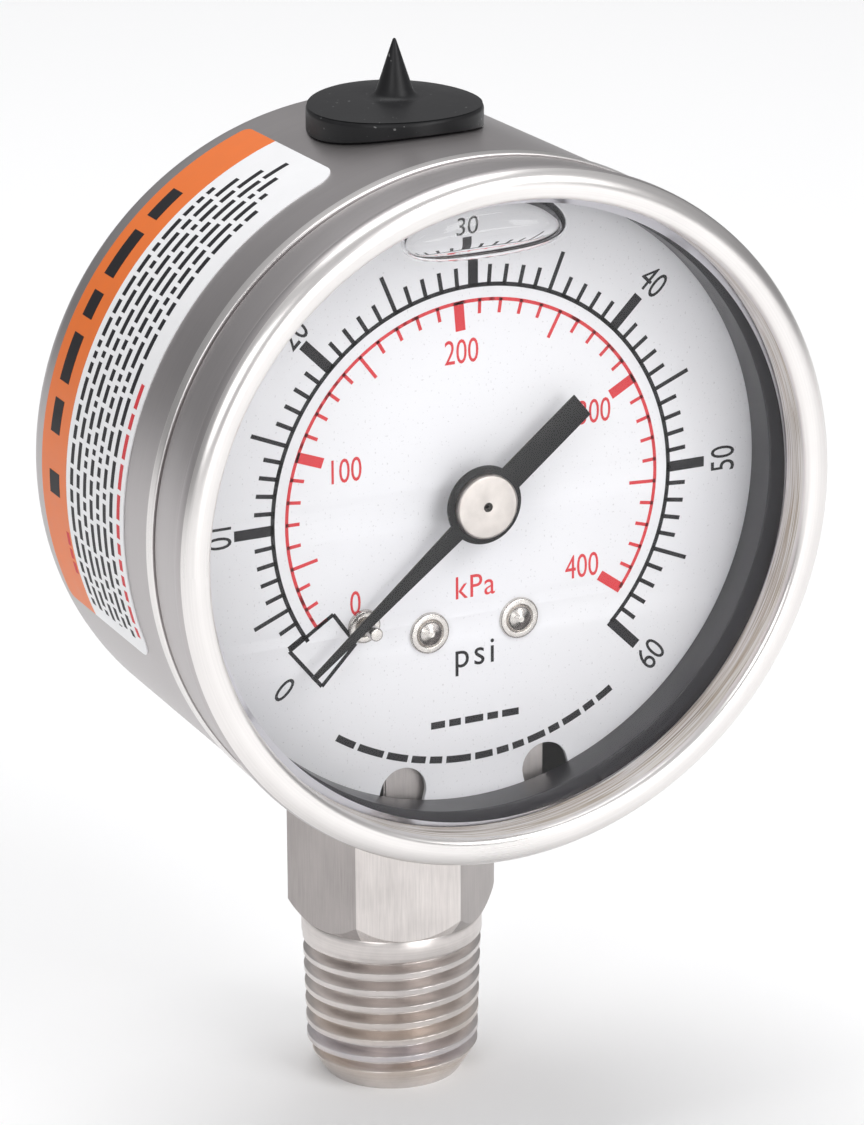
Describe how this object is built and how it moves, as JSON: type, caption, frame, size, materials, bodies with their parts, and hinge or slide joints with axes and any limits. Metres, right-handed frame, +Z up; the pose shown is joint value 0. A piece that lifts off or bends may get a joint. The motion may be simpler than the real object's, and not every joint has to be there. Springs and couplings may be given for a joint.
{
  "type": "pressure gauge",
  "caption": "Round liquid-filled dial pressure gauge with a threaded bottom stem, domed bezel, clear window, pointer and a working Bourdon tube movement behind the dial.",
  "frame": {"origin": "centre of the stem's lower end face, where the pipe fitting is screwed on", "axes": "+Z up the stem to the fill plug; the dial faces -Y and its axis is parallel to Y; +X to the reader's right"},
  "size_m": [0.053, 0.0309, 0.0829],
  "materials": {
    "case_steel": "satin drawn stainless steel",
    "bezel_steel": "bright polished stainless steel, crimped",
    "window": "clear, polished",
    "black_rubber": "matt",
    "label_film": "satin printed film",
    "dial_white": "matt white with a printed scale",
    "screw_steel": "bright zinc",
    "pointer_black": "satin black",
    "cap_metal": "turned, bright",
    "movement_steel": "turned",
    "movement_brass": "bright stamped",
    "tube_steel": "drawn",
    "spring_bronze": "drawn strip",
    "stem_steel": "turned stainless steel with heat colours",
    "plug_rubber": "satin moulded"
  },
  "bodies": {
    "case": {"case_shell": "case_steel", "bezel_ring": "bezel_steel", "window_lens": "window", "lens_gasket": "black_rubber", "side_label": "label_film", "dial_plate": "dial_white", "dial_screws": "screw_steel", "dial_spacers": "movement_brass", "stop_pin": "screw_steel", "bourdon_tube": "tube_steel", "movement_back_plate": "movement_brass", "movement_front_plate": "movement_brass", "movement_pillars": "movement_brass", "pillar_screws": "screw_steel", "base_screws": "screw_steel", "hairspring": "spring_bronze", "hairspring_stud": "movement_brass", "socket": "stem_steel", "socket_seal": "black_rubber", "restrictor_screw": "movement_brass"},
    "pointer": {"pointer": "pointer_black", "pointer_cap": "cap_metal", "pinion_arbor": "movement_steel", "hairspring_collet": "movement_brass"},
    "sector": {"sector_gear": "movement_brass", "sector_arbor": "movement_steel", "tail_pin": "movement_steel"},
    "link": {"link_bar": "movement_brass"},
    "tube_tip": {"tube_tip": "tube_steel", "tip_pin": "movement_steel"},
    "fill_plug": {"fill_plug": "plug_rubber"}
  },
  "joints": [
    {"name": "pointer_turn", "type": "hinge", "parent": "case", "child": "pointer", "pos_m": [0, 0, 0.051], "axis": [0, 1, 0], "range_deg": [0, 270], "deforming": ["hairspring"]},
    {"name": "sector_swing", "type": "hinge", "parent": "case", "child": "sector", "pos_m": [0.0024, 0, 0.03924], "axis": [0, 1, 0], "range_deg": [-38.62, 0.05]},
    {"name": "link_swing", "type": "hinge", "parent": "sector", "child": "link", "pos_m": [0.001, 0, 0.03524], "axis": [0, 1, 0], "range_deg": [-0.05, 38.62]},
    {"name": "tip_travel", "type": "slide", "parent": "case", "child": "tube_tip", "axis": [1, 0, 0], "range_m": [0, 0.0028], "stiffness_N_per_m": 200, "deforming": ["bourdon_tube"]},
    {"name": "plug_lift", "type": "slide", "parent": "case", "child": "fill_plug", "axis": [0, 0, 1], "range_m": [0, 0.006]}
  ],
  "couplings": [
    {"joint": "pointer_turn", "follows": "tip_travel", "rad_per_m": 1682.5},
    {"joint": "sector_swing", "follows": "tip_travel", "rad_per_m": -240.36},
    {"joint": "link_swing", "follows": "tip_travel", "rad_per_m": 240.36}
  ]
}
